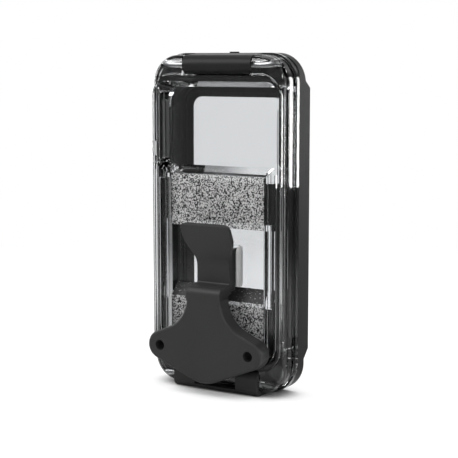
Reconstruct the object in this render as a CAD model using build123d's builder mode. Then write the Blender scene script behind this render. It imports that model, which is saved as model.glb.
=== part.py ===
from build123d import *
import os
from math import atan2, cos, degrees, hypot, radians, sin, sqrt, tan

# Sizes are in millimetres. The case stands upright: X runs across its back, Y = 0 is the seam
# between the clear shell behind (-Y) and the black frame in front (+Y), and Z = 0 is the surface
# it stands on. Everything is worked out from the pocket that the case is built around.

# Pocket for the device
pocket_width = 59.8
pocket_height = 124.6
pocket_depth = 9.3
pocket_corner = 8.5
pocket_floor_round = 1.0
bottom_margin = 20.4
top_margin = 16.0

# Walls and clearances
liner_wall = 2.7
liner_end_wall = 1.4
liner_reach = 3.0
frame_wall = 4.6
fit = 0.1
seam_gap = 0.15
soft_gap = 0.3
notch_gap = 0.4
foot_gap = 0.4
case_corner = 14.0

# Front frame
flange_depth = 6.2
film_thickness = 0.4
bezel_thickness = 1.7
end_wall = 4.1
top_end_wall = 3.0
end_slope_bottom = 5.4
end_slope_top = 3.8
frame_edge = 1.1
tub_depth = 6.0
screen_margin = 3.6
screen_end_margin = 5.0
screen_corner = 5.0
bezel_chamfer = 1.0
film_land = 2.6
home_key_radius = 5.5
home_key_height = 0.8
home_key_draft = 20.0
home_key_offset = 6.5
top_nub_width = 5.0
top_nub_depth = 2.2
top_nub_height = 0.6
top_nub_setback = 2.0

# Seal between the two halves
seal_offset = 0.9
seal_width = 1.8
seal_depth = 1.5
seal_edge = 0.45

# Hinge at the top and latch at the bottom
pin_radius = 1.5
pin_chamfer = 0.3
pin_running_gap = 0.06
hinge_back = 8.7
hinge_drop = 5.5
barrel_radius = 4.6
barrel_half_length = 18.6
arm_angle = 24.0
arm_drop = 0.1
latch_pin_height = 5.7
latch_half_width = 23.2
latch_cheek_half = 5.7
latch_round = 3.2
latch_window_half = 11.4
latch_plate = 2.3
latch_clear = 0.15
latch_toe = 1.6
latch_toe_bevel = 0.7
catch_slope = 0.07
tooth_radius = 3.0
knuckle_recess = 2.0

# Clear back shell
rim_depth = 2.4
rim_step = 0.9
body_depth = 12.7
body_round = 3.9
border_depth = 14.4
border_inset = 2.1
border_top_inset = 9.3
border_bottom_inset = 12.3
border_corner = 11.0
border_round = 1.1
shell_wall = 2.5
window_depth = 6.0
panel_depth = 11.4
window_side_border = 4.5
window_bottom = 107.8
window_top = 145.2
window_corner = 3.0
window_draft = 17.0
panel_side_border = 8.8
panel_bottom = 16.6
panel_corner = 5.0
panel_top = 104.0
low_window_top = 79.0
low_window_bottom = 50.5
low_ledge_bottom = 44.2
side_groove_depths = (4.6, 8.3)
side_groove_width = 0.7
side_groove_cut = 0.45
rib_grooves = ((2.0, 0.9), (4.9, 1.7), (7.6, 0.7))
rib_cut = 0.9
rib_top = 105.5
blister_height = 115.5
blister_length = 8.5
blister_radius = 1.5

# Rail on the lower window and the clip that hooks onto it
plinth_half = 10.6
plinth_height = 0.8
plinth_bottom = 51.0
plinth_top = 70.5
plinth_corner = 2.0
rail_corner = 0.6
rail_stem_half = 4.4
rail_head_half = 6.5
rail_head_depth = 3.4
rail_fit = 0.15
lug_length = 5.0
lug_pitch = 11.0
first_lug = 52.5
clip_back_to_front = 25.0
clip_sheet = 2.6
clip_skirt = 8.3
clip_wall = 2.2
clip_edge = 1.3
clip_boss_radius = 4.2
mount_spacing = 48.6
mount_height = 22.0
mount_hole_radius = 2.45
lobe_radius = 6.9
lobe_slant = 23.0
clip_apex = 5.9
clip_apex_radius = 16.0
clip_waist_half = 9.2
clip_waist_blend = 0.95
clip_neck_half = 8.9
clip_neck_depth = 15.4
clip_shoulder_low = 47.7
clip_shoulder_high = 53.1
clip_neck_top = 61.2
tab_half = 15.2
tab_top = 82.2
tab_reach = 7.6
tab_corner = 5.0
tab_flare = 13.5
tab_tip_round = 0.8
clip_bend = 2.0

# Worked-out sizes
pocket_half = pocket_width / 2
pocket_bottom = bottom_margin
pocket_top = bottom_margin + pocket_height
tub_half = pocket_half + liner_wall + fit
tub_bottom = pocket_bottom - liner_end_wall - fit
tub_top = pocket_top + liner_end_wall + fit
tub_corner = pocket_corner + (liner_wall + liner_end_wall) / 2 + fit
case_half = tub_half + frame_wall
case_bottom = foot_gap
case_top = pocket_top + top_margin
frame_depth = pocket_depth + film_thickness + bezel_thickness
hinge_y = -hinge_back
hinge_z = case_top - hinge_drop
latch_y = -(border_depth - latch_cheek_half)
latch_z = latch_pin_height
rail_front = clip_neck_depth - clip_sheet - rail_fit
swing_radius = hypot(hinge_back, hinge_drop) + soft_gap
cavity_grow = fit + soft_gap
cavity_top = tub_top + cavity_grow
cavity_corner = tub_corner + cavity_grow
liner_swing = hypot(hinge_back, hinge_z - cavity_top + cavity_corner) + fit
hinge_floor = hinge_z - barrel_radius - notch_gap
latch_sweep = (latch_cheek_half - latch_round) * sqrt(2) + latch_round + notch_gap
border_half = case_half - border_inset
border_bottom = case_bottom + border_bottom_inset
border_top = case_top - border_top_inset
window_half = border_half - window_side_border
panel_half = border_half - panel_side_border
mouth_depth = window_depth - shell_wall
room_depth = panel_depth - shell_wall
window_drop = panel_depth - window_depth
screen_half = pocket_half - screen_margin
screen_bottom = pocket_bottom + screen_end_margin
screen_top = pocket_top - screen_end_margin
neck_face = -clip_neck_depth
far_out = 3 * case_top


def facing_back(y):
    """Sketch plane at depth y. X is right, Z is up and a positive extrude goes to -Y."""
    return Plane.XZ.offset(-y)


def facing_front(y):
    """Sketch plane at depth y whose positive extrude goes to +Y. Its X is turned round."""
    return Plane(origin=(0, y, 0), x_dir=(-1, 0, 0), z_dir=(0, 1, 0))


def rounded(half_width, bottom, top, radius):
    """Upright rounded rectangle, centred on X = 0, in the sketch that is open."""
    with Locations((0, (bottom + top) / 2)):
        RectangleRounded(2 * half_width, top - bottom, radius)


def case_outline(inset=0.0):
    """Outline of the closed case, stepped in by the inset."""
    rounded(case_half - inset, case_bottom + inset, case_top - inset, case_corner - inset)


def tub_outline(grow=0.0):
    """Outline of the tub that takes the liner, larger by grow."""
    rounded(tub_half + grow, tub_bottom - grow, tub_top + grow, tub_corner + grow)


def pocket_outline(grow=0.0):
    """Outline of the device pocket, larger by grow."""
    rounded(pocket_half + grow, pocket_bottom - grow, pocket_top + grow, pocket_corner + grow)


def border_outline(inset=0.0):
    """Outline of the raised border on the back of the shell."""
    rounded(
        border_half - inset, border_bottom + inset, border_top - inset, border_corner - inset
    )


def side_profile(*points):
    """Closed profile through its corners, each given as (Y, Z) on the YZ plane."""
    Polygon(*points, align=None)


def pin_plane(y, z):
    """Plane across X at the centre of a pin."""
    return Plane(origin=(0, y, z), x_dir=(0, 1, 0), z_dir=(1, 0, 0))


# Clear back shell: rim, body and raised border are one moulding
with BuildPart() as back_shell:
    with BuildSketch(facing_back(0)):
        case_outline()
    extrude(amount=rim_depth)
    with BuildSketch(facing_back(-rim_depth)):
        case_outline(rim_step)
    extrude(amount=body_depth - rim_depth)
    fillet(back_shell.faces().sort_by(Axis.Y)[0].outer_wire().edges(), body_round)
    with BuildSketch(facing_back(-body_depth + body_round)):
        border_outline()
    extrude(amount=border_depth - body_depth + body_round)
    fillet(back_shell.faces().sort_by(Axis.Y)[0].outer_wire().edges(), border_round)

    # Long grooves around the side walls
    for depth in side_groove_depths:
        with BuildSketch(facing_back(-depth + side_groove_width / 2)):
            Rectangle(far_out, far_out)
            with BuildSketch(mode=Mode.PRIVATE) as core:
                case_outline(rim_step + side_groove_cut)
            add(core.sketch, mode=Mode.SUBTRACT)
        extrude(amount=side_groove_width, mode=Mode.SUBTRACT)

    # Ribs of the lower border, cut as grooves that follow its outline
    for inset, width in rib_grooves:
        with BuildSketch(facing_back(-border_depth)):
            border_outline(inset)
            with BuildSketch(mode=Mode.PRIVATE) as core:
                border_outline(inset + width)
            add(core.sketch, mode=Mode.SUBTRACT)
            with Locations((0, rib_top + far_out / 2)):
                Rectangle(far_out, far_out, mode=Mode.SUBTRACT)
        extrude(amount=-rib_cut, mode=Mode.SUBTRACT)

    # Camera window with drafted walls, sunk from the back
    with BuildSketch(facing_front(-window_depth)):
        rounded(window_half, window_bottom, window_top, window_corner)
    extrude(amount=-(border_depth - window_depth), taper=-window_draft, mode=Mode.SUBTRACT)
    # Panel recess, and the slanted corners that join it to the camera window
    with BuildSketch(facing_front(-panel_depth)):
        rounded(panel_half, panel_bottom, panel_top, panel_corner)
        Polygon(
            (-panel_half, panel_top - panel_corner),
            (panel_half, panel_top - panel_corner),
            (panel_half, panel_top),
            (window_half, window_bottom),
            (window_half, window_bottom + window_corner),
            (-window_half, window_bottom + window_corner),
            (-window_half, window_bottom),
            (-panel_half, panel_top),
            align=None,
        )
    extrude(amount=-(border_depth - panel_depth), taper=-window_draft / 2, mode=Mode.SUBTRACT)
    # Ledge that slopes down into the camera window, and the lower window
    with BuildSketch(Plane.YZ):
        side_profile(
            (-panel_depth, panel_top),
            (-panel_depth, window_bottom + window_corner),
            (-window_depth, window_bottom + window_corner),
            (-window_depth, window_bottom),
        )
        side_profile(
            (-panel_depth, low_window_top),
            (-window_depth, low_window_top),
            (-window_depth, low_window_bottom),
            (-panel_depth, low_ledge_bottom),
        )
    extrude(amount=panel_half, both=True, mode=Mode.SUBTRACT)

    # Inside: the shallow mouth, then the deeper room behind the textured panels
    with BuildSketch(facing_back(0)):
        tub_outline(cavity_grow)
    extrude(amount=mouth_depth, mode=Mode.SUBTRACT)
    low_window_middle = (low_window_top + low_window_bottom - window_drop) / 2
    low_window_height = low_window_top - low_window_bottom + window_drop
    with BuildSketch(facing_back(-mouth_depth)):
        tub_outline(cavity_grow)
        with Locations((0, panel_top - shell_wall + far_out / 2)):
            Rectangle(far_out, far_out, mode=Mode.SUBTRACT)
        with Locations((0, low_window_middle)):
            Rectangle(
                2 * (panel_half + shell_wall),
                low_window_height + 2 * shell_wall,
                mode=Mode.SUBTRACT,
            )
    extrude(amount=room_depth - mouth_depth, mode=Mode.SUBTRACT)

    # Plinth and rail with two hooked lugs on the lower window
    with BuildSketch(facing_back(-window_depth)):
        rounded(plinth_half, plinth_bottom, plinth_top, plinth_corner)
    extrude(amount=plinth_height)
    with BuildSketch(facing_back(-window_depth)):
        rounded(rail_stem_half, first_lug, first_lug + lug_pitch + lug_length, rail_corner)
    extrude(amount=rail_front - window_depth)
    with BuildSketch(facing_back(rail_head_depth - rail_front)):
        for lug in range(2):
            with Locations((0, first_lug + lug * lug_pitch + lug_length / 2)):
                Rectangle(2 * rail_head_half, lug_length)
    extrude(amount=rail_head_depth)

    # Hinge notch between the top knuckles, and the latch notch below
    with BuildSketch(Plane.YZ):
        side_profile(
            (far_out, hinge_floor), (far_out, far_out), (-far_out, far_out), (-far_out, hinge_floor)
        )
    extrude(amount=barrel_half_length + notch_gap, both=True, mode=Mode.SUBTRACT)
    with BuildSketch(Plane.YZ):
        with Locations((latch_y, latch_z)):
            Circle(latch_sweep)
        side_profile(
            (-far_out, -far_out),
            (-far_out, latch_z + latch_sweep),
            (latch_y, latch_z + latch_sweep),
            (latch_y, latch_plate + notch_gap),
            (far_out, latch_plate + notch_gap),
            (far_out, -far_out),
        )
    extrude(amount=latch_half_width + notch_gap, both=True, mode=Mode.SUBTRACT)
    # Clear tooth that carries the latch pin in the middle
    with BuildSketch(Plane.YZ):
        with Locations((latch_y, latch_z)):
            Circle(tooth_radius)
        side_profile(
            (latch_y - tooth_radius, latch_z),
            (latch_y + tooth_radius, latch_z),
            (latch_y + tooth_radius, latch_z + latch_sweep + shell_wall),
            (latch_y - tooth_radius, latch_z + latch_sweep + shell_wall),
        )
    extrude(amount=latch_window_half - notch_gap, both=True)

    # Small blister on one side, on the round edge of the body
    blister_sink = body_round * (1 - sqrt(0.5))
    blister_y = blister_sink - body_depth
    blister_x = blister_sink + rim_step - case_half
    blister_straight = blister_length / 2 - blister_radius
    with BuildSketch(Plane.XY.offset(blister_height)):
        with Locations((blister_x, blister_y)):
            Circle(blister_radius)
    extrude(amount=blister_straight, both=True)
    for end in (-1, 1):
        with Locations((blister_x, blister_y, blister_height + end * blister_straight)):
            Sphere(blister_radius)

    # Pin holes, open at the corners
    for y, z in ((hinge_y, hinge_z), (latch_y, latch_z)):
        with BuildSketch(pin_plane(y, z)):
            Circle(pin_radius)
        extrude(amount=far_out, both=True, mode=Mode.SUBTRACT)
back_shell.part.label = "back_shell"

# Pins
pin_reach_top = case_half - rim_step - case_corner + sqrt(
    (case_corner - rim_step) ** 2 - (case_corner - hinge_drop) ** 2
)
pin_half_length = pin_reach_top - knuckle_recess
with BuildPart() as hinge_pin:
    with BuildSketch(pin_plane(hinge_y, hinge_z)):
        Circle(pin_radius)
    extrude(amount=pin_half_length, both=True)
    chamfer(hinge_pin.edges(), pin_chamfer)
hinge_pin.part.label = "hinge_pin"

with BuildPart() as latch_pin:
    with BuildSketch(pin_plane(latch_y, latch_z)):
        Circle(pin_radius)
    extrude(amount=pin_half_length, both=True)
    chamfer(latch_pin.edges(), pin_chamfer)
latch_pin.part.label = "latch_pin"

# Black front frame: flange all round, deeper middle with sloped ends
slope_bottom = pocket_bottom - end_wall
slope_top = pocket_top + top_end_wall
with BuildPart() as front_frame:
    with BuildSketch(facing_front(seam_gap)):
        case_outline()
    extrude(amount=frame_depth - seam_gap)
    fillet(front_frame.faces().sort_by(Axis.Y)[-1].outer_wire().edges(), frame_edge)
    with BuildSketch(Plane.YZ):
        side_profile(
            (flange_depth, -far_out),
            (flange_depth, slope_bottom),
            (frame_depth, slope_bottom + end_slope_bottom),
            (far_out, slope_bottom + end_slope_bottom),
            (far_out, -far_out),
        )
        side_profile(
            (flange_depth, far_out),
            (flange_depth, slope_top),
            (frame_depth, slope_top - end_slope_top),
            (far_out, slope_top - end_slope_top),
            (far_out, far_out),
        )
    extrude(amount=far_out, both=True, mode=Mode.SUBTRACT)

    # Tub for the liner, then the pocket floor
    with BuildSketch(facing_front(seam_gap)):
        tub_outline()
    extrude(amount=tub_depth - seam_gap, mode=Mode.SUBTRACT)
    with BuildSketch(facing_front(tub_depth)):
        pocket_outline()
    extrude(amount=pocket_depth - tub_depth, mode=Mode.SUBTRACT)
    floor = front_frame.faces().filter_by(Axis.Y).filter_by_position(
        Axis.Y, pocket_depth - 0.01, pocket_depth + 0.01
    )
    fillet(floor.edges(), pocket_floor_round)
    # Seat for the film and the screen opening in front of it
    with BuildSketch(facing_front(pocket_depth)):
        rounded(
            screen_half + film_land,
            screen_bottom - film_land,
            screen_top + film_land,
            screen_corner + film_land,
        )
    extrude(amount=film_thickness, mode=Mode.SUBTRACT)
    with BuildSketch(facing_front(pocket_depth)):
        rounded(screen_half, screen_bottom, screen_top, screen_corner)
    extrude(amount=far_out, mode=Mode.SUBTRACT)
    opening = front_frame.faces().sort_by(Axis.Y)[-1].inner_wires()
    chamfer(opening.edges(), bezel_chamfer)

    # Groove for the seal
    with BuildSketch(facing_front(seam_gap)):
        tub_outline(seal_offset + seal_width)
        with BuildSketch(mode=Mode.PRIVATE) as core:
            tub_outline(seal_offset)
        add(core.sketch, mode=Mode.SUBTRACT)
    extrude(amount=seal_depth, mode=Mode.SUBTRACT)

    # Hollow behind the top rim that lets it roll over the shell as the case opens
    with BuildSketch(pin_plane(hinge_y, hinge_z)):
        Circle(swing_radius)
    extrude(amount=far_out, both=True, mode=Mode.SUBTRACT)
    # Barrel on the hinge pin and the arm that carries the frame
    arm_top = case_top - arm_drop
    arm_middle = flange_depth / 2
    arm_bottom = hinge_z - hinge_drop / 2
    with BuildSketch(Plane.YZ):
        with Locations((hinge_y, hinge_z)):
            Circle(barrel_radius)
        side_profile(
            (hinge_y, hinge_z + barrel_radius),
            (seam_gap, arm_top),
            (arm_middle, arm_top),
            (arm_middle, arm_bottom),
            (seam_gap, arm_bottom),
            (
                hinge_y + barrel_radius * cos(radians(arm_angle)),
                hinge_z - barrel_radius * sin(radians(arm_angle)),
            ),
        )
    extrude(amount=barrel_half_length, both=True)
    with BuildSketch(pin_plane(hinge_y, hinge_z)):
        Circle(pin_radius + pin_running_gap)
    extrude(amount=far_out, both=True, mode=Mode.SUBTRACT)

    # Sloped ledge over the latch plate
    ledge_low = latch_plate + latch_clear
    with BuildSketch(Plane.YZ):
        side_profile(
            (0, -far_out),
            (0, ledge_low),
            (seam_gap, ledge_low),
            (frame_depth, ledge_low + catch_slope * (frame_depth - seam_gap)),
            (frame_depth, -far_out),
        )
    extrude(amount=latch_half_width + notch_gap, both=True, mode=Mode.SUBTRACT)

    # Small nub on the middle of the top edge
    with BuildSketch(Plane.XY.offset(case_top - top_nub_height)):
        with Locations((0, flange_depth - top_nub_setback)):
            SlotOverall(top_nub_width, top_nub_depth)
    extrude(amount=2 * top_nub_height)
front_frame.part.label = "front_frame"

# Clear film over the screen opening, with a raised pad for the home key
with BuildPart() as screen_membrane:
    with BuildSketch(facing_front(pocket_depth)):
        rounded(
            screen_half + film_land - fit / 2,
            screen_bottom - film_land + fit / 2,
            screen_top + film_land - fit / 2,
            screen_corner + film_land - fit / 2,
        )
    extrude(amount=film_thickness)
    with BuildSketch(facing_front(pocket_depth + film_thickness)):
        with Locations((0, screen_bottom + home_key_offset)):
            Circle(home_key_radius)
    extrude(amount=home_key_height, taper=home_key_draft)
screen_membrane.part.label = "screen_membrane"

# Rubber liner of the tub, which reaches back into the shell
with BuildPart() as pocket_liner:
    with BuildSketch(facing_front(-liner_reach)):
        tub_outline(-fit)
        with BuildSketch(mode=Mode.PRIVATE) as core:
            pocket_outline()
        add(core.sketch, mode=Mode.SUBTRACT)
    extrude(amount=liner_reach + tub_depth - fit)
    # Its reach stops short of the hinge, so that its corners clear the shell as the case opens
    with BuildSketch(Plane.YZ):
        with Locations((hinge_y, hinge_z)):
            Circle(liner_swing)
        with Locations((-far_out / 2, hinge_z)):
            Rectangle(far_out, far_out, mode=Mode.INTERSECT)
    extrude(amount=far_out, both=True, mode=Mode.SUBTRACT)
pocket_liner.part.label = "pocket_liner"

# Seal ring in its groove
with BuildPart() as main_seal:
    with BuildSketch(facing_front(fit)):
        tub_outline(seal_offset + seal_width - fit / 2)
        with BuildSketch(mode=Mode.PRIVATE) as core:
            tub_outline(seal_offset + fit / 2)
        add(core.sketch, mode=Mode.SUBTRACT)
    extrude(amount=seam_gap + seal_depth - fit)
    fillet(main_seal.faces().sort_by(Axis.Y)[0].edges(), seal_edge)
main_seal.part.label = "main_seal"

# U-shaped rubber cushion in the lower room of the shell
cushion_half = tub_half + cavity_grow - fit
cushion_inner = panel_half + shell_wall + fit
cushion_wall = cushion_half - cushion_inner
cushion_bottom = tub_bottom - cavity_grow + fit
cushion_top = panel_top - shell_wall - notch_gap
with BuildPart() as back_cushion:
    with BuildSketch(facing_front(fit - room_depth)):
        tub_outline(cavity_grow - fit)
        with BuildSketch(mode=Mode.PRIVATE) as core:
            rounded(
                cushion_inner, cushion_bottom + cushion_wall, far_out, tub_corner - cushion_wall
            )
        add(core.sketch, mode=Mode.SUBTRACT)
        with Locations((0, cushion_top + far_out / 2)):
            Rectangle(far_out, far_out, mode=Mode.SUBTRACT)
    extrude(amount=room_depth - fit - liner_reach - soft_gap)
back_cushion.part.label = "back_cushion"

# Latch: two cheeks on the pin and a plate that wraps under to the front
toe_end = flange_depth + latch_toe
toe_top = toe_end - latch_toe_bevel
latch_bottom = latch_z - latch_cheek_half
with BuildPart() as latch:
    with BuildSketch(Plane.YZ):
        with Locations((latch_y, latch_z)):
            RectangleRounded(2 * latch_cheek_half, 2 * latch_cheek_half, latch_round)
        side_profile(
            (latch_y, latch_bottom),
            (latch_y, latch_plate),
            (seam_gap, latch_plate),
            (toe_top, latch_plate + catch_slope * (toe_top - seam_gap)),
            (toe_end, latch_plate),
            (toe_end, latch_bottom + latch_toe_bevel),
            (toe_end - latch_toe_bevel, latch_bottom),
        )
    extrude(amount=latch_half_width, both=True)
    # Window between the cheeks
    with BuildSketch(Plane.YZ):
        side_profile(
            (-far_out, latch_plate),
            (-far_out, far_out),
            (seam_gap, far_out),
            (seam_gap, latch_plate),
        )
    extrude(amount=latch_window_half, both=True, mode=Mode.SUBTRACT)
    with BuildSketch(pin_plane(latch_y, latch_z)):
        Circle(pin_radius + pin_running_gap)
    extrude(amount=far_out, both=True, mode=Mode.SUBTRACT)
latch.part.label = "latch"

# Clip: one moulding, first the blade that makes the shoulder, the neck and the thumb tab
plate_face = -clip_back_to_front
tab_end = tab_top + clip_sheet
tab_turn = degrees(2 * atan2(tab_reach, tab_top - clip_neck_top))
tab_radius = (tab_top - clip_neck_top) / sin(radians(tab_turn))
flare_turn = degrees(2 * atan2(tab_half - clip_neck_half, tab_flare))
flare_radius = tab_flare / 2 / sin(radians(flare_turn))
with BuildPart() as clip_blade:
    with BuildSketch(Plane.YZ):
        with BuildLine():
            FilletPolyline(
                (plate_face, clip_shoulder_low - clip_sheet),
                (plate_face, clip_shoulder_low),
                (neck_face, clip_shoulder_high),
                (neck_face, clip_neck_top),
                radius=clip_bend,
            )
            JernArc((neck_face, clip_neck_top), (0, 1), tab_radius, tab_turn)
            offset(amount=clip_sheet, side=Side.RIGHT)
        make_face()
    extrude(amount=tab_half, both=True)
    fillet(clip_blade.edges().group_by(Axis.Z)[-1], tab_tip_round)
    with BuildSketch(facing_back(0)):
        with BuildLine():
            Line((0, 0), (clip_waist_half, 0))
            Line((clip_waist_half, 0), (clip_waist_half, clip_shoulder_low))
            Line((clip_waist_half, clip_shoulder_low), (clip_neck_half, clip_shoulder_high))
            Line((clip_neck_half, clip_shoulder_high), (clip_neck_half, clip_neck_top))
            flare = JernArc((clip_neck_half, clip_neck_top), (0, 1), flare_radius, -flare_turn)
            JernArc(flare @ 1, flare % 1, flare_radius, flare_turn)
            Line((tab_half, clip_neck_top + tab_flare), (tab_half, tab_end - tab_corner))
            RadiusArc((tab_half, tab_end - tab_corner), (tab_half - tab_corner, tab_end), -tab_corner)
            Line((tab_half - tab_corner, tab_end), (0, tab_end))
            Line((0, tab_end), (0, 0))
        make_face()
        mirror(about=Plane.YZ)
    extrude(amount=far_out, mode=Mode.INTERSECT)

# The two-lobed mounting plate with its skirt, and the channel that hooks onto the rail
hole_x = mount_spacing / 2
lobe_angle = radians(lobe_slant)
apex_x = clip_apex_radius * sin(lobe_angle)
apex_z = clip_apex + clip_apex_radius * (1 - cos(lobe_angle))
apex_mid = (
    clip_apex_radius * sin(lobe_angle / 2),
    clip_apex + clip_apex_radius * (1 - cos(lobe_angle / 2)),
)
lobe_low = (
    hole_x + lobe_radius * sin(lobe_angle),
    mount_height - lobe_radius * cos(lobe_angle),
)
lobe_high = (lobe_low[0], mount_height + lobe_radius * cos(lobe_angle))
waist_corner = lobe_high[1] + (lobe_high[0] - clip_waist_half) * tan(lobe_angle)
waist_run = clip_waist_blend * (clip_shoulder_low - waist_corner)
waist_radius = waist_run / tan(radians(45) - lobe_angle / 2)
head_back = rail_head_depth - rail_front
channel_top = first_lug + lug_pitch + lug_length
channel_inner = rail_head_half + rail_fit
channel_back = -(window_depth + plinth_height + soft_gap)
hook_inner = rail_stem_half + 2 * rail_fit
with BuildPart() as mounting_clip:
    with BuildSketch(facing_back(plate_face + clip_skirt)) as plate:
        with BuildLine():
            ThreePointArc((0, clip_apex), apex_mid, (apex_x, apex_z))
            Line((apex_x, apex_z), lobe_low)
            ThreePointArc(lobe_low, (hole_x + lobe_radius, mount_height), lobe_high)
            FilletPolyline(
                lobe_high,
                (clip_waist_half, waist_corner),
                (clip_waist_half, clip_shoulder_low),
                radius=waist_radius,
            )
            Line((clip_waist_half, clip_shoulder_low), (0, clip_shoulder_low))
            Line((0, clip_shoulder_low), (0, clip_apex))
        make_face()
        mirror(about=Plane.YZ)
    extrude(amount=clip_skirt)
    front_rim = mounting_clip.faces().sort_by(Axis.Y)[0].outer_wire().edges()
    fillet(front_rim.sort_by(Axis.Z)[:-2], clip_edge)
    with BuildSketch(facing_back(plate_face + clip_skirt)):
        add(plate.sketch)
        offset(amount=-clip_wall, mode=Mode.REPLACE)
    extrude(amount=clip_skirt - clip_sheet, mode=Mode.SUBTRACT)
    add(clip_blade.part)
    for side in (-1, 1):
        with BuildSketch(facing_back(plate_face + clip_skirt)):
            with Locations((side * hole_x, mount_height)):
                Circle(clip_boss_radius)
        extrude(amount=clip_skirt - clip_sheet)
        with BuildSketch(facing_back(0)):
            with Locations((side * hole_x, mount_height)):
                Circle(mount_hole_radius)
        extrude(amount=far_out, mode=Mode.SUBTRACT)
        # Channel wall beside the rail, with a hook at each lug
        wall_middle = side * (channel_inner + clip_neck_half) / 2
        with BuildSketch(facing_back(channel_back)):
            with Locations((wall_middle, (first_lug + channel_top) / 2)):
                Rectangle(clip_neck_half - channel_inner, channel_top - first_lug)
        extrude(amount=channel_back - neck_face)
        hook_middle = side * (hook_inner + clip_neck_half) / 2
        with BuildSketch(facing_back(channel_back)):
            for lug in range(2):
                with Locations((hook_middle, first_lug + lug * lug_pitch + lug_length / 2)):
                    Rectangle(clip_neck_half - hook_inner, lug_length)
        extrude(amount=channel_back - head_back - rail_fit)
mounting_clip.part.label = "mounting_clip"

pieces = [
    back_shell,
    hinge_pin,
    latch_pin,
    front_frame,
    screen_membrane,
    pocket_liner,
    main_seal,
    back_cushion,
    latch,
    mounting_clip,
]
os.makedirs("parts", exist_ok=True)
for piece in pieces:
    export_step(piece.part, f"parts/{piece.part.label}.step")
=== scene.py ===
# Waterproof case: finishes, the scene's own pieces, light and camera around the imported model.
# Lengths are in metres.
from math import cos, pi, radians, sin, tan

import bpy
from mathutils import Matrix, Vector


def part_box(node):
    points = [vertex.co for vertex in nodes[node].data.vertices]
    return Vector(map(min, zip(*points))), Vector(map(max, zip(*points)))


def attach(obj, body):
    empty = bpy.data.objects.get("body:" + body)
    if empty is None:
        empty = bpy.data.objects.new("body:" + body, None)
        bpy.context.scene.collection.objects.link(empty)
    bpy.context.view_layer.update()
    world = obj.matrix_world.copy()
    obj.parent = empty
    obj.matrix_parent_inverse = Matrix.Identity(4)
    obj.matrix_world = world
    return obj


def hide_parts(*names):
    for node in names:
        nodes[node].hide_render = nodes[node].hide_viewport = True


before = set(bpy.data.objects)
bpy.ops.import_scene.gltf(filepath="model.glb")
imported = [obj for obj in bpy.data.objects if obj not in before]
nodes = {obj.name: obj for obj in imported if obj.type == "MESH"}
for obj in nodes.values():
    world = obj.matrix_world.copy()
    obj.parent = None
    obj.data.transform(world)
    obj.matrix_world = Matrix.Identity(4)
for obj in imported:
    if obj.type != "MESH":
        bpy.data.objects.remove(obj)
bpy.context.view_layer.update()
print("frame loaded:", len(nodes), "nodes")

mm = 0.001
mergeGap = 0.001 * mm  # points closer than this are one point


class Value:  # a number or colour inside a material; arithmetic on it adds Math nodes
    def __init__(self, paint, socket):
        self.paint = paint
        self.socket = socket

    def maths(self, operation, *others):
        sockets = dict(enumerate((self, *others)))
        return self.paint.node("ShaderNodeMath", {"operation": operation}, sockets).out()

    def __add__(self, other):
        return self.maths("ADD", other)

    def __sub__(self, other):
        return self.maths("SUBTRACT", other)

    def __mul__(self, other):
        return self.maths("MULTIPLY", other)

    def __truediv__(self, other):
        return self.maths("DIVIDE", other)

    def __rsub__(self, other):
        return self.maths("MULTIPLY", -1.0).maths("ADD", other)

    __radd__ = __add__
    __rmul__ = __mul__

    def size(self):
        return self.maths("ABSOLUTE")

    def top(self, other):
        return self.maths("MAXIMUM", other)

    def capped(self):
        return self.maths("MINIMUM", 1.0)

    def rise(self, low, high, start=0.0, end=1.0):  # smooth step from start to end
        settings = {"interpolation_type": "SMOOTHSTEP"}
        sockets = {"Value": self, "From Min": low, "From Max": high, "To Min": start, "To Max": end}
        return self.paint.node("ShaderNodeMapRange", settings, sockets).out()

    def fall(self, low, high):  # smooth step from 1 down to 0
        return self.rise(low, high, 1.0, 0.0)

    def within(self, low, high, soft):  # 1 between low and high
        return self.rise(low - soft, low + soft) * self.fall(high - soft, high + soft)


class Node:  # one node, whose outputs are read by name or number
    def __init__(self, paint, node):
        self.paint = paint
        self.node = node

    def out(self, name=0):
        return Value(self.paint, self.node.outputs[name])


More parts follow.
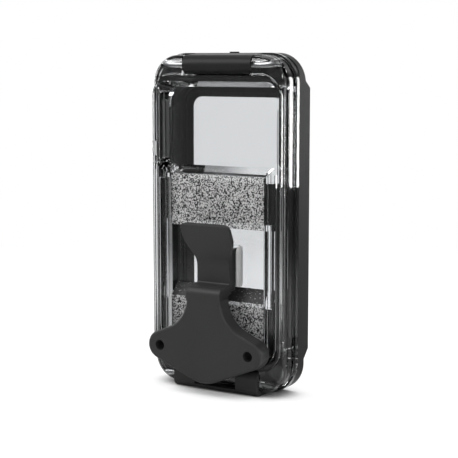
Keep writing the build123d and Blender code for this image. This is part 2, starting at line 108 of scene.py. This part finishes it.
class Paint:  # the nodes of one material, or of the world
    def __init__(self, owner):
        self.owner = owner
        owner.use_nodes = True
        self.tree = owner.node_tree
        self.tree.nodes.clear()

    def node(self, kind, settings=None, sockets=None):
        node = self.tree.nodes.new(kind)
        for name, setting in (settings or {}).items():
            setattr(node, name, setting)
        for name, value in (sockets or {}).items():
            if isinstance(value, Value):
                self.tree.links.new(value.socket, node.inputs[name])
            else:
                node.inputs[name].default_value = value
        return Node(self, node)

    def place(self):
        if not hasattr(self, "coordinates"):
            self.coordinates = self.node("ShaderNodeTexCoord").out("Object")
        return self.coordinates

    def axes(self, where=None):
        split = self.node("ShaderNodeSeparateXYZ", {}, {0: where or self.place()})
        return split.out("X"), split.out("Y"), split.out("Z")

    def stretched(self, scale):  # coordinates squeezed along each axis
        return self.node("ShaderNodeMapping", {}, {"Vector": self.place(), "Scale": scale}).out()

    def noise(self, grain, detail=2.0, where=None, rough=0.5):
        sockets = {
            "Vector": where or self.place(),
            "Scale": 1 / grain,
            "Detail": detail,
            "Roughness": rough,
        }
        return self.node("ShaderNodeTexNoise", {}, sockets).out(0)

    def cells(self, grain):  # distance to the nearest of scattered points
        sockets = {"Vector": self.place(), "Scale": 1 / grain}
        return self.node("ShaderNodeTexVoronoi", {"feature": "F1"}, sockets).out("Distance")

    def blend(self, factor, dark, light):  # between two grey levels
        mix = self.node("ShaderNodeMix", {"data_type": "RGBA"}, {"Factor": factor}).node
        colours = [socket for socket in mix.inputs if socket.type == "RGBA"]
        for socket, level in zip(colours, (dark, light)):
            socket.default_value = grey(level)
        return Value(self, [socket for socket in mix.outputs if socket.type == "RGBA"][0])

    def bump(self, height, depth, normal=None):
        sockets = {"Height": height, "Distance": depth, "Strength": 1.0}
        if normal:
            sockets["Normal"] = normal
        return self.node("ShaderNodeBump", {}, sockets).out()

    def roundEdge(self, radius):
        return self.node("ShaderNodeBevel", {"samples": 4}, {"Radius": radius}).out()

    def surface(self, sockets):
        return self.node("ShaderNodeBsdfPrincipled", {}, sockets).out()

    def matt(self, level):
        return self.node("ShaderNodeBsdfDiffuse", {}, {"Color": grey(level)}).out()

    def glow(self, strength):
        sockets = {"Color": grey(1.0), "Strength": strength}
        return self.node("ShaderNodeEmission", {}, sockets).out()

    def mixed(self, factor, first, second):
        return self.node("ShaderNodeMixShader", {}, {0: factor, 1: first, 2: second}).out()

    def rays(self):  # rays from the camera, and rays off or through something shiny or clear
        path = self.node("ShaderNodeLightPath")
        shiny = path.out("Is Glossy Ray") + path.out("Is Transmission Ray")
        return path.out("Is Camera Ray"), shiny.capped()

    def finish(self, shader):
        self.node("ShaderNodeOutputMaterial", {}, {"Surface": shader})
        return self.owner


def grey(level):
    return (level, level, level, 1)


# Clear moulded shell. The two panels on its back are stippled, and so is the low ledge; the ledge
# gets sparser light specks and a complete speckled coat, a painted shade that renders it darker.
shellLook = {
    "colour": (0.80, 0.81, 0.82, 1),
    "ior": 1.55,
    "roughness": 0.015,
    "ripple": 9 * mm,
    "rippleDepth": 0.03 * mm,
    "panelHalf": 26.1 * mm,
    "upperPanel": (79.1 * mm, 103.8 * mm),
    "lowerPanel": (16.8 * mm, 44.3 * mm),
    "lowerLedge": (44.3 * mm, 50.3 * mm),
    "panelFace": -10.9 * mm,
    "ledgeFace": -5.0 * mm,
    "soft": 0.1 * mm,
    "grain": 0.62 * mm,
    "grainRough": 0.6,
    "grainDepth": 0.22 * mm,
    "cellShare": 0.5,
    "stippleRoughness": 0.12,
    "frost": 0.8,
    "frostRoughness": 0.3,
    "speck": (0.46, 0.54),
    "speckLevels": (0.02, 0.74),
    "ledgePaintedShade": 0.17,
}


def clearPlastic():
    look = shellLook
    paint = Paint(bpy.data.materials.new("clearPlastic"))
    x, y, z = paint.axes()
    soft = look["soft"]
    outer = y.fall(look["panelFace"] - soft, look["panelFace"] + soft)
    sloped = y.fall(look["ledgeFace"] - soft, look["ledgeFace"] + soft)
    upper = z.within(*look["upperPanel"], soft)
    lower = z.within(*look["lowerPanel"], soft)
    onLedge = sloped * z.within(*look["lowerLedge"], soft)
    across = x.size().fall(look["panelHalf"] - soft, look["panelHalf"] + soft)
    stipple = across * ((upper + lower) * outer + onLedge)
    grains = paint.noise(look["grain"], rough=look["grainRough"])
    height = paint.cells(look["grain"]) * look["cellShare"] + grains
    ripple = paint.bump(paint.noise(look["ripple"], detail=1.0), look["rippleDepth"])
    normal = paint.bump(height * stipple, look["grainDepth"], ripple)
    clear = paint.surface(
        {
            "Base Color": look["colour"],
            "Roughness": stipple * look["stippleRoughness"] + look["roughness"],
            "IOR": look["ior"],
            "Transmission Weight": 1.0,
            "Normal": normal,
        }
    )
    # Fewer light specks on the low ledge: painted shade, so the ledge renders darker
    speck = (grains - onLedge * look["ledgePaintedShade"]).rise(*look["speck"])
    frostAndHighlight = paint.surface(
        {
            "Base Color": paint.blend(speck, *look["speckLevels"]),
            "Roughness": look["frostRoughness"],
            "Normal": normal,
        }
    )
    # The speckled coat covers the whole ledge, which adds to its painted shade
    cover = stipple * (onLedge * (1 - look["frost"]) + look["frost"])
    return paint.finish(paint.mixed(cover, clear, frostAndHighlight))


# Black moulded plastics: one finish for the frame, one for the latch and the clip
blackLook = {
    "framePlastic": {
        "colour": 0.020,
        "roughness": 0.38,
        "gloss": 0.14,
        "grain": 0.30 * mm,
        "edge": 0.35 * mm,
    },
    "clipPlastic": {
        "colour": 0.031,
        "roughness": 0.50,
        "gloss": 0.36,
        "grain": 0.26 * mm,
        "edge": 0.45 * mm,
    },
}
mouldLook = {
    "grainDepth": 0.012 * mm,
    "grainRoughness": 0.06,
    "flow": 24 * mm,
    "flowRoughness": 0.10,
    "shade": 0.15,
}


def blackPlastic(name):
    look = blackLook[name] | mouldLook
    paint = Paint(bpy.data.materials.new(name))
    grain = paint.noise(look["grain"])
    flow = paint.noise(look["flow"])
    spread = flow * look["flowRoughness"] + grain * look["grainRoughness"]
    middle = (look["flowRoughness"] + look["grainRoughness"]) / 2
    dark = look["colour"] * (1 - look["shade"])
    light = look["colour"] * (1 + look["shade"])
    shader = paint.surface(
        {
            "Base Color": paint.blend(flow, dark, light),
            "Roughness": spread + (look["roughness"] - middle),
            "Specular IOR Level": look["gloss"],
            "Normal": paint.bump(grain, look["grainDepth"], paint.roundEdge(look["edge"])),
        }
    )
    return paint.finish(shader)


# Rubber of the liners and of the seal
rubberLook = {
    "linerRubber": 0.018,
    "sealRubber": 0.040,
    "shade": (0.8, 1.3),
    "dust": 7 * mm,
    "grain": 0.35 * mm,
    "detail": 3.0,
    "grainDepth": 0.02 * mm,
    "grainRoughness": 0.15,
    "roughness": 0.6,
    "gloss": 0.2,
    "edge": 0.3 * mm,
}


def rubber(name):
    look = rubberLook
    paint = Paint(bpy.data.materials.new(name))
    grain = paint.noise(look["grain"], look["detail"])
    dust = paint.noise(look["dust"], look["detail"])
    dark, light = (look[name] * shade for shade in look["shade"])
    shader = paint.surface(
        {
            "Base Color": paint.blend(dust, dark, light),
            "Roughness": grain * look["grainRoughness"] + look["roughness"],
            "Specular IOR Level": look["gloss"],
            "Normal": paint.bump(grain, look["grainDepth"], paint.roundEdge(look["edge"])),
        }
    )
    return paint.finish(shader)


# Clear film over the screen opening
filmLook = {
    "colour": (0.94, 0.95, 0.96, 1),
    "ior": 1.5,
    "wave": 14 * mm,
    "waveDepth": 0.03 * mm,
    "waveRoughness": 0.04,
    "roughness": 0.01,
}


def touchFilm():
    look = filmLook
    paint = Paint(bpy.data.materials.new("touchFilm"))
    wave = paint.noise(look["wave"], detail=1.0)
    shader = paint.surface(
        {
            "Base Color": look["colour"],
            "Roughness": wave * look["waveRoughness"] + look["roughness"],
            "IOR": look["ior"],
            "Transmission Weight": 1.0,
            "Normal": paint.bump(wave, look["waveDepth"]),
        }
    )
    return paint.finish(shader)


# Drawn steel of the two pins, its lines running along them
pinLook = {
    "levels": (0.50, 0.66),
    "line": 0.12 * mm,
    "stretch": (0.03, 1, 1),
    "lineDepth": 0.005 * mm,
    "lineRoughness": 0.12,
    "roughness": 0.22,
}


def pinSteel():
    look = pinLook
    paint = Paint(bpy.data.materials.new("pinSteel"))
    lines = paint.noise(look["line"], where=paint.stretched(look["stretch"]))
    shader = paint.surface(
        {
            "Base Color": paint.blend(lines, *look["levels"]),
            "Metallic": 1.0,
            "Roughness": lines * look["lineRoughness"] + look["roughness"],
            "Normal": paint.bump(lines, look["lineDepth"]),
        }
    )
    return paint.finish(shader)


# Modelling helpers
def selectOnly(piece):
    bpy.ops.object.select_all(action="DESELECT")
    piece.select_set(True)
    bpy.context.view_layer.objects.active = piece


def applied(piece, kind, **settings):
    selectOnly(piece)
    modifier = piece.modifiers.new(kind.title(), kind)
    for name, setting in settings.items():
        setattr(modifier, name, setting)
    bpy.ops.object.modifier_apply(modifier=modifier.name)


def combine(piece, tool, operation):  # boolean, after which the tool is deleted
    applied(piece, "BOOLEAN", object=tool, operation=operation, solver="EXACT")
    bpy.data.objects.remove(tool, do_unlink=True)


def block(low, high, lowerCorners=0.0):  # a box; its lower corners, seen from behind, may be round
    bpy.ops.object.select_all(action="DESELECT")
    middle = [(a + b) / 2 for a, b in zip(low, high)]
    size = [b - a for a, b in zip(low, high)]
    bpy.ops.mesh.primitive_cube_add(size=1, location=middle, scale=size)
    bpy.ops.object.transform_apply(location=True, rotation=True, scale=True)
    piece = bpy.context.object
    if lowerCorners:
        bpy.ops.object.mode_set(mode="EDIT")
        bpy.ops.mesh.select_mode(type="EDGE")
        bpy.ops.mesh.select_all(action="DESELECT")
        bpy.ops.object.mode_set(mode="OBJECT")
        points = piece.data.vertices
        for edge in piece.data.edges:
            a, b = (points[end].co for end in edge.vertices)
            edge.select = abs(a.y - b.y) > size[1] / 2 and max(a.z, b.z) < middle[2]
        bpy.ops.object.mode_set(mode="EDIT")
        bpy.ops.mesh.bevel(offset=lowerCorners, segments=10)
        bpy.ops.object.mode_set(mode="OBJECT")
    return piece


def pullOut(points, along):  # a closed outline, drawn point by point, then extruded
    bpy.ops.object.select_all(action="DESELECT")
    bpy.ops.mesh.primitive_plane_add(size=mm, location=points[0])
    piece = bpy.context.object
    bpy.ops.object.transform_apply(location=True, rotation=True, scale=True)
    bpy.ops.object.mode_set(mode="EDIT")
    bpy.ops.mesh.select_mode(type="VERT")
    bpy.ops.mesh.select_all(action="SELECT")
    bpy.ops.mesh.merge(type="CENTER")
    for here, there in zip(points, points[1:] + points[:1]):
        step = Vector(there) - Vector(here)
        bpy.ops.mesh.extrude_region_move(TRANSFORM_OT_translate={"value": step})
    bpy.ops.mesh.select_all(action="SELECT")
    bpy.ops.mesh.remove_doubles(threshold=mergeGap)
    bpy.ops.mesh.edge_face_add()
    bpy.ops.mesh.extrude_region_move(TRANSFORM_OT_translate={"value": along})
    bpy.ops.mesh.select_all(action="SELECT")
    bpy.ops.mesh.normals_make_consistent(inside=False)
    bpy.ops.object.mode_set(mode="OBJECT")
    return piece


def bent(corners, radii, steps=8):  # a flat path through its corners, each inner one rounded
    corners = [Vector(corner) for corner in corners]
    path = [corners[0]]
    for before, corner, after, radius in zip(corners, corners[1:], corners[2:], radii):
        back = (before - corner).normalized()
        ahead = (after - corner).normalized()
        half = back.angle(ahead) / 2
        middle = corner + (back + ahead).normalized() * (radius / sin(half))
        start = corner + back * (radius / tan(half)) - middle
        end = corner + ahead * (radius / tan(half)) - middle
        path += [middle + start.slerp(end, step / steps) * radius for step in range(steps + 1)]
    return path + [corners[-1]]


# Rubber liner of the back: a U-shaped rim, and thin skins behind the two stippled panels
linerLook = {
    "rim": 4.0 * mm,
    "corner": 10.9 * mm,
    "edge": 0.35 * mm,
    "skin": 0.2 * mm,
    "skinLap": 0.4 * mm,
    "gap": (42.2 * mm, 81.9 * mm),
}


def backLiner():
    look = linerLook
    low, high = (Vector(corner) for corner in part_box("back_cushion"))
    rim = look["rim"]
    inner = look["corner"] - rim
    liner = block(low, high, look["corner"])
    roomLow = (low.x + rim, low.y - rim, low.z + rim)
    roomHigh = (high.x - rim, high.y + rim, 2 * high.z)
    combine(liner, block(roomLow, roomHigh, inner), "DIFFERENCE")
    applied(liner, "BEVEL", width=look["edge"], segments=2, limit_method="ANGLE")
    inset = rim - look["skinLap"]
    gapLow, gapHigh = look["gap"]
    for bottom, top, corner in ((low.z + inset, gapLow, inner), (gapHigh, high.z, 0.0)):
        skinLow = (low.x + inset, low.y, bottom)
        skinHigh = (high.x - inset, low.y + look["skin"], top)
        combine(liner, block(skinLow, skinHigh, corner), "UNION")
    liner.name = "backLiner"
    return liner


# Mounting clip: its plate is the solid clip's; the shoulder, neck, thumb tab and webs are new.
# Negative values are places along Y, smaller further back; the others are heights or widths.
clipLook = {
    "cut": 46.8 * mm,
    "overlap": 0.4 * mm,
    "sheet": 2.2 * mm,
    "bends": (3.2 * mm, 1.0 * mm, 12.0 * mm),
    "face": -24.98 * mm,
    "waist": 9.17 * mm,
    "shoulder": (51.7 * mm, 52.6 * mm),
    "neck": -15.4 * mm,
    "neckHalf": 8.9 * mm,
    "neckTop": 62.5 * mm,
    "tabFace": -24.32 * mm,
    "tabTop": 81.2 * mm,
    "tabHalf": 13.2 * mm,
    "flare": 13.0 * mm,
    "flareSteps": 8,
    "corner": 2.6 * mm,
    "cornerTurn": 80,
    "cornerSteps": 6,
    "crown": 1.5 * mm,
    "web": (6.65 * mm, 8.6 * mm),
    "webFoot": -16.7 * mm,
    "webTop": 78.6 * mm,
    "webBack": -12.8 * mm,
    "webStep": 69.3 * mm,
    "channelBack": -7.1 * mm,
    "hooks": ((52.5 * mm, 57.5 * mm), (63.5 * mm, 68.5 * mm)),
    "hookHalf": 4.7 * mm,
    "hookFaces": (-9.1 * mm, -7.11 * mm),
    "smooth": 32,
}


def bladeOutline(look):  # half widths from the waist up to the crown, then down the other side
    low, high = look["shoulder"]
    neckHalf, tabHalf = look["neckHalf"], look["tabHalf"]
    top = look["tabTop"] + look["sheet"]
    side = [(look["waist"], look["cut"] - look["sheet"]), (look["waist"], low), (neckHalf, high)]
    steps = look["flareSteps"]
    for step in range(steps + 1):
        swell = (1 - cos(pi * step / steps)) / 2
        width = neckHalf + (tabHalf - neckHalf) * swell
        side.append((width, look["neckTop"] + look["flare"] * step / steps))
    corner = look["corner"]
    middleX, middleZ = tabHalf - corner, top - look["crown"] - corner
    steps = look["cornerSteps"]
    for step in range(steps + 1):
        turn = radians(look["cornerTurn"]) * step / steps
        side.append((middleX + corner * cos(turn), middleZ + corner * sin(turn)))
    side += [(tabHalf / 2, top - look["crown"] / 4), (0, top)]
    return side + [(-x, z) for x, z in side[-2::-1]]


def clipBlade(look):  # the sheet from the shoulder to the end of the tab
    low, high = look["shoulder"]
    corners = (
        (look["face"], look["cut"] - look["overlap"]),
        (look["face"], low),
        (look["neck"], high),
        (look["neck"], look["neckTop"]),
        (look["tabFace"], look["tabTop"]),
    )
    line = bent(corners, look["bends"])
    inner = []
    for before, point, after in zip([line[0]] + line, line, line[1:] + [line[-1]]):
        run = (after - before).normalized()
        inner.append(point + Vector((run.y, -run.x)) * look["sheet"])
    profile = line + inner[::-1]
    wide = look["tabHalf"]
    blade = pullOut([(-wide, y, z) for y, z in profile], (2 * wide, 0, 0))
    depth = -2 * look["face"]
    trim = pullOut([(x, -depth, z) for x, z in bladeOutline(look)], (0, depth, 0))
    combine(blade, trim, "INTERSECT")
    return blade


def addWebs(clip, look):  # the channel's side walls behind the neck, with their hooks
    low, high = look["shoulder"]
    half = look["sheet"] / 2
    plate, neck = look["face"] + half, look["neck"] + half
    lean = (look["neck"] - look["tabFace"]) / (look["tabTop"] - look["neckTop"])
    web = (
        (look["webFoot"], look["cut"] - half),
        (plate, look["cut"] - half),
        (plate, look["cut"] + half),
        (look["face"] + look["bends"][0], low - half),
        (neck, high - half),
        (neck, look["neckTop"]),
        (neck - lean * (look["webTop"] - look["neckTop"]), look["webTop"]),
        (look["webBack"], look["webStep"] + half),
        (look["webBack"], look["webStep"]),
        (look["channelBack"], look["webStep"]),
        (look["channelBack"], look["hooks"][0][0]),
        (look["webFoot"], look["cut"]),
    )
    inner, outer = look["web"]
    front, back = look["hookFaces"]
    for side in (-1, 1):
        wall = pullOut([(side * inner, y, z) for y, z in web], (side * (outer - inner), 0, 0))
        combine(clip, wall, "UNION")
        left, right = sorted((side * look["hookHalf"], side * outer))
        for bottom, top in look["hooks"]:
            combine(clip, block((left, front, bottom), (right, back, top)), "UNION")


def mountingClip():
    look = clipLook
    clip = bpy.data.objects.new("mountingClip", nodes["mounting_clip"].data.copy())
    bpy.context.scene.collection.objects.link(clip)
    selectOnly(clip)
    bpy.ops.object.mode_set(mode="EDIT")
    bpy.ops.mesh.select_all(action="SELECT")
    bpy.ops.mesh.remove_doubles(threshold=mergeGap)
    bpy.ops.mesh.select_all(action="SELECT")
    plane = {"plane_co": (0, 0, look["cut"]), "plane_no": (0, 0, 1), "threshold": mergeGap}
    bpy.ops.mesh.bisect(use_fill=True, clear_outer=True, **plane)
    bpy.ops.object.mode_set(mode="OBJECT")
    combine(clip, clipBlade(look), "UNION")
    addWebs(clip, look)
    selectOnly(clip)
    bpy.ops.object.shade_smooth_by_angle(angle=radians(look["smooth"]))
    applied(clip, "WEIGHTED_NORMAL", keep_sharp=True)
    return clip


# Cheeks of the rail's plinth, one each side of the clip's neck, near-white and only partly clear: a
# painted highlight along the clear plinth's edges
cheekLook = {
    "inner": 9.3 * mm,
    "outer": 10.6 * mm,
    "back": -10.5 * mm,
    "front": -5.9 * mm,
    "bottom": 51.0 * mm,
    "top": 70.2 * mm,
    "rounds": (0.8 * mm, 3.2 * mm),
    "edge": 0.3 * mm,
    "smooth": 40,
    "levels": (0.90, 0.96),
    "cloud": 3 * mm,
    "cloudRoughness": 0.1,
    "roughness": 0.2,
    "clearness": 0.25,
}


def railCheek(name, left):
    look = cheekLook
    corners = (
        (look["front"], look["bottom"]),
        (look["back"], look["bottom"]),
        (look["back"], look["top"]),
        (look["front"], look["top"]),
    )
    path = bent(corners, look["rounds"])
    width = look["outer"] - look["inner"]
    cheek = pullOut([(left, y, z) for y, z in path], (width, 0, 0))
    applied(cheek, "BEVEL", width=look["edge"], segments=3, limit_method="ANGLE")
    bpy.ops.object.shade_smooth_by_angle(angle=radians(look["smooth"]))
    cheek.name = name
    return cheek


# Near-white, rough and only partly clear finish that paints the highlight of the clear plinth's
# edges
def cheekHighlightPlastic():
    look = cheekLook
    paint = Paint(bpy.data.materials.new("cheekHighlightPlastic"))
    cloud = paint.noise(look["cloud"])
    shader = paint.surface(
        {
            "Base Color": paint.blend(cloud, *look["levels"]),
            "Roughness": cloud * look["cloudRoughness"] + look["roughness"],
            "IOR": shellLook["ior"],
            "Transmission Weight": look["clearness"],
        }
    )
    return paint.finish(shader)


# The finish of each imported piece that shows
finishes = {
    "back_shell": clearPlastic(),
    "front_frame": blackPlastic("framePlastic"),
    "screen_membrane": touchFilm(),
    "pocket_liner": rubber("linerRubber"),
    "main_seal": rubber("sealRubber"),
    "hinge_pin": pinSteel(),
    "latch": blackPlastic("clipPlastic"),
}
finishes["latch_pin"] = finishes["hinge_pin"]
for name, material in finishes.items():
    nodes[name].data.materials.clear()
    nodes[name].data.materials.append(material)
print("finishes on:", len(finishes), "nodes")

liner = backLiner()
liner.data.materials.append(finishes["pocket_liner"])
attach(liner, "shell")
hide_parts("back_cushion")
print("back liner:", len(liner.data.polygons), "faces")

clip = mountingClip()
clip.data.materials.clear()
clip.data.materials.append(finishes["latch"])
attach(clip, "clip")
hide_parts("mounting_clip")
print("mounting clip:", len(clip.data.polygons), "faces")

# The cheeks' near-white finish is a painted highlight
frostAndHighlight = cheekHighlightPlastic()
cheekEdges = {"railCheekLeft": -cheekLook["outer"], "railCheekRight": cheekLook["inner"]}
for name, left in cheekEdges.items():
    cheek = railCheek(name, left)
    cheek.data.materials.append(frostAndHighlight)
    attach(cheek, "shell")
print("rail cheeks:", len(cheekEdges))

# Camera at the photograph's place
cameraLook = {
    "place": (0.3068, -0.5115, 0.1572),
    "yaw": 31.0,
    "pitch": 7.66,
    "lens": 98.2,
    "sensor": 36.0,
    "reach": (0.01, 50.0),
}
lensData = bpy.data.cameras.new("photoCamera")
lensData.lens = cameraLook["lens"]
lensData.sensor_width = cameraLook["sensor"]
lensData.clip_start, lensData.clip_end = cameraLook["reach"]
camera = bpy.data.objects.new("photoCamera", lensData)
camera.location = cameraLook["place"]
camera.rotation_euler = (radians(90 - cameraLook["pitch"]), 0, radians(cameraLook["yaw"]))
bpy.context.scene.collection.objects.link(camera)
bpy.context.scene.camera = camera
print("camera set")

# Soft studio light. Azimuth 0 is straight behind the case's back, positive towards +X.
lampLook = {
    "keyBox": {"azimuth": -40, "height": 38, "away": 1.0, "size": (0.5, 0.6), "glow": 5.6},
    "topBox": {"azimuth": 180, "height": 76, "away": 0.8, "size": (0.8, 0.8), "glow": 1.7},
    "rightStrip": {"azimuth": 84, "height": 8, "away": 0.9, "size": (0.05, 1.0), "glow": 9.0},
    "rearStrip": {"azimuth": 150, "height": 6, "away": 1.0, "size": (0.07, 0.9), "glow": 9.0},
    "leftStrip": {"azimuth": -98, "height": 8, "away": 0.9, "size": (0.08, 1.0), "glow": 13.0},
    "cornerBox": {"azimuth": 58, "height": 24, "away": 0.9, "size": (0.22, 0.22), "glow": 12.0},
}
lampAim = Vector((0, -0.005, 0.08))
for name, lamp in lampLook.items():
    data = bpy.data.lights.new(name, "AREA")
    data.shape = "RECTANGLE"
    data.size, data.size_y = lamp["size"]
    data.energy = lamp["glow"] * pi * data.size * data.size_y
    turn = radians(lamp["azimuth"])
    lift = radians(lamp["height"])
    away = Vector((sin(turn) * cos(lift), -cos(turn) * cos(lift), sin(lift)))
    light = bpy.data.objects.new(name, data)
    light.location = lampAim + away * lamp["away"]
    light.rotation_euler = away.to_track_quat("Z", "Y").to_euler()
    bpy.context.scene.collection.objects.link(light)
print("lamps:", len(lampLook))

# White backdrop as the clear and shiny surfaces see it, with dark flags at both sides and above,
# and a dim room behind the camera. The ranges are parts of a direction along X, Y or Z.
studioLook = {
    "ambient": 0.22,
    "leftFlag": (-0.77, -0.62),
    "rightFlag": (0.25, 0.47),
    "outerEnds": (0.90, 0.97),
    "topFlag": (0.30, 0.62),
    "flag": 0.93,
    "room": (-0.60, -0.25),
    "roomFlag": 0.78,
}


def backdrop(across, ahead):
    look = studioLook
    beside = across.rise(*look["rightFlag"]).top(across.fall(*look["leftFlag"]))
    flags = beside * (across.size().fall(*look["outerEnds"]) * look["flag"])
    return 1 - flags.top(ahead.fall(*look["room"]) * look["roomFlag"])


# Pale floor that keeps the shadow and fades into the white backdrop. What the camera and the
# shiny surfaces see of it is paler than what lights the case from below. Close to the case its glow
# is dimmed by ambient occlusion, a painted contact shadow.
floorLook = {
    "half": 3.0,
    "bounce": 0.8,
    "shown": 0.36,
    "fill": 0.76,
    "paintedShadowReach": 13 * mm,
    "open": (0.15, 0.85),
    "fade": (0.20, 0.50),
}


def floorPaint():
    look = floorLook
    paint = Paint(bpy.data.materials.new("floorPaint"))
    toEye, shiny = paint.rays()
    length = paint.node("ShaderNodeVectorMath", {"operation": "LENGTH"}, {0: paint.place()})
    distance = length.out("Value")
    x, y, _ = paint.axes()
    level = toEye + (1 - toEye) * backdrop(x / distance, y / distance)
    # Ambient occlusion dims the fill glow close to the case: painted contact shadow
    sockets = {"Distance": look["paintedShadowReach"]}
    clearance = paint.node("ShaderNodeAmbientOcclusion", {"samples": 8}, sockets).out("AO")
    fill = paint.glow(clearance.rise(*look["open"]) * look["fill"] * level)
    near = paint.node("ShaderNodeAddShader", {}, {0: paint.matt(look["shown"]), 1: fill}).out()
    shown = paint.mixed(distance.rise(*look["fade"]), near, paint.glow(level))
    seen = (toEye + shiny).capped()
    return paint.finish(paint.mixed(seen, paint.matt(look["bounce"]), shown))


bpy.ops.object.select_all(action="DESELECT")
bpy.ops.mesh.primitive_plane_add(size=2 * floorLook["half"])
floor = bpy.context.object
floor.name = "floor"
floor.data.materials.append(floorPaint())
print("floor laid")

# World: white to the camera, the flagged backdrop to shiny rays, and a dim fill to the rest
world = bpy.data.worlds.new("studio")
bpy.context.scene.world = world
sky = Paint(world)
toEye, shiny = sky.rays()
across, ahead, up = sky.axes(sky.node("ShaderNodeTexCoord").out("Generated"))
belowFlag = 1 - up.rise(*studioLook["topFlag"]) * studioLook["flag"]
around = shiny * backdrop(across, ahead) * belowFlag + (1 - shiny) * studioLook["ambient"]
strength = toEye + (1 - toEye) * around
glow = sky.node("ShaderNodeBackground", {}, {"Color": grey(1.0), "Strength": strength}).out()
sky.node("ShaderNodeOutputWorld", {}, {"Surface": glow})
print("backdrop set")

bpy.context.scene.view_settings.view_transform = "Standard"

print("scene ready")
